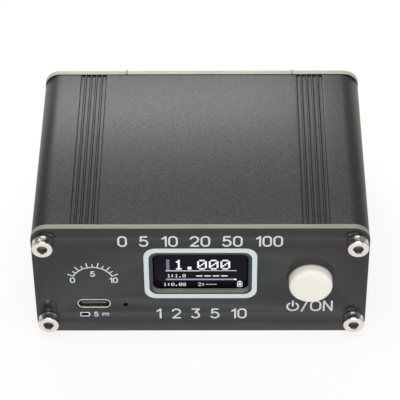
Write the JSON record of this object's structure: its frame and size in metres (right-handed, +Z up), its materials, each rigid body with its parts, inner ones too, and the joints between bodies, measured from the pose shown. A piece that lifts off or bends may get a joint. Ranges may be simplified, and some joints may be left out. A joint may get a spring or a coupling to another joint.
{
  "type": "power and swr meter",
  "caption": "Bench radio power and SWR meter: grooved black aluminium case, glossy end panels, small display window, sprung push button, charging socket in front and coaxial sockets behind.",
  "frame": {"origin": "middle of the case's underside, halfway between the end panels", "axes": "+X to the right of the front panel, +Y from the front panel to the rear one, +Z up"},
  "size_m": [0.088, 0.0829, 0.0385],
  "materials": {
    "anodised": "bead-blasted, satin black anodised",
    "solder_mask": "glossy black solder mask on glass-fibre board",
    "screw_steel": "bright stainless steel",
    "green_board": "green solder mask on glass-fibre board",
    "header": "black moulded strip with plated pins",
    "display_glass": "dark polished display glass",
    "display_board": "blue solder mask on glass-fibre board",
    "flex": "amber film",
    "cap": "satin ivory moulding",
    "switch": "black moulding",
    "spring_steel": "stamped spring steel",
    "usb_steel": "drawn stainless steel",
    "usb_tongue": "black moulding",
    "light": "clear resin over a white body",
    "chip": "black moulded epoxy",
    "battery": "aluminium laminate pouch",
    "foam": "double-sided foam pad",
    "nylon": "natural nylon",
    "red_lead": "red insulation over stranded copper",
    "black_lead": "black insulation over stranded copper",
    "copper": "enamelled copper wire",
    "ferrite": "dull grey ferrite",
    "nickel": "nickel plate on brass",
    "ptfe": "white machined insulator",
    "gold": "gold plate on brass"
  },
  "bodies": {
    "housing": {"case_bottom": "anodised", "case_top": "anodised", "front_panel": "solder_mask", "rear_panel": "solder_mask", "front_screw_1": "screw_steel", "front_screw_2": "screw_steel", "front_screw_3": "screw_steel", "front_screw_4": "screw_steel", "rear_screw_1": "screw_steel", "rear_screw_2": "screw_steel", "rear_screw_3": "screw_steel", "rear_screw_4": "screw_steel", "main_board": "green_board", "front_board": "green_board", "board_header": "header", "display_glass": "display_glass", "display_board": "display_board", "display_flex": "flex", "display_header": "header", "switch_base": "switch", "switch_cover": "spring_steel", "switch_dome": "spring_steel", "usb_shell": "usb_steel", "usb_tongue": "usb_tongue", "status_light": "light", "microcontroller": "chip", "charge_controller": "chip", "forward_detector": "chip", "reflected_detector": "chip", "battery": "battery", "battery_pad": "foam", "battery_socket": "nylon", "battery_plug": "nylon", "battery_lead_positive": "red_lead", "battery_lead_negative": "black_lead", "through_line": "copper", "current_core": "ferrite", "current_winding": "copper", "voltage_core": "ferrite", "voltage_winding": "copper", "tap_wire": "copper", "transmitter_socket": "nickel", "transmitter_insulator": "ptfe", "transmitter_contact": "gold", "transmitter_nut_plate": "nickel", "transmitter_screw_1": "screw_steel", "transmitter_screw_2": "screw_steel", "transmitter_screw_3": "screw_steel", "transmitter_screw_4": "screw_steel", "antenna_socket": "nickel", "antenna_insulator": "ptfe", "antenna_contact": "gold", "antenna_nut_plate": "nickel", "antenna_screw_1": "screw_steel", "antenna_screw_2": "screw_steel", "antenna_screw_3": "screw_steel", "antenna_screw_4": "screw_steel"},
    "button": {"button_cap": "cap", "switch_plunger": "switch"}
  },
  "joints": [
    {"name": "button_press", "type": "slide", "parent": "housing", "child": "button", "axis": [0, 1, 0], "range_m": [0, 0.0003], "stiffness_N_per_m": 3000, "deforming": ["switch_dome"]}
  ]
}
